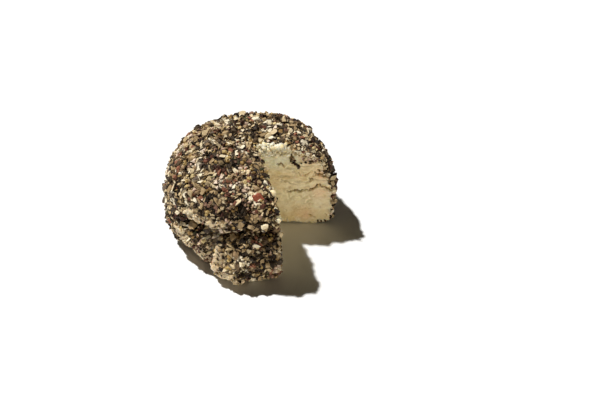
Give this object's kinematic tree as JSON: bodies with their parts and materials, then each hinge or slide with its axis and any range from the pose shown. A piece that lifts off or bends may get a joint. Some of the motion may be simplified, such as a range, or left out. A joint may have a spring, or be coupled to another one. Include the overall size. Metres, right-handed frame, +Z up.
{
  "type": "cheese wheel",
  "caption": "Small domed fresh-cheese wheel coated in cracked pepper and seeds, with a wedge cut out so that the pale cheese shows.",
  "frame": {"origin": "middle of the footprint, on the face that the wheel rests on", "axes": "+Z up through the crown. The wedge gap opens towards +X and -Y, with one cut face nearly along +X and the other nearly along -Y"},
  "size_m": [0.0956, 0.0968, 0.0612],
  "materials": {
    "cheese": "soft, moist, matte curd",
    "pepper": "dry, rough, cracked pepper and seeds"
  },
  "bodies": {
    "root": {"cheese_paste": "cheese", "pepper_coat": "pepper"}
  },
  "joints": []
}
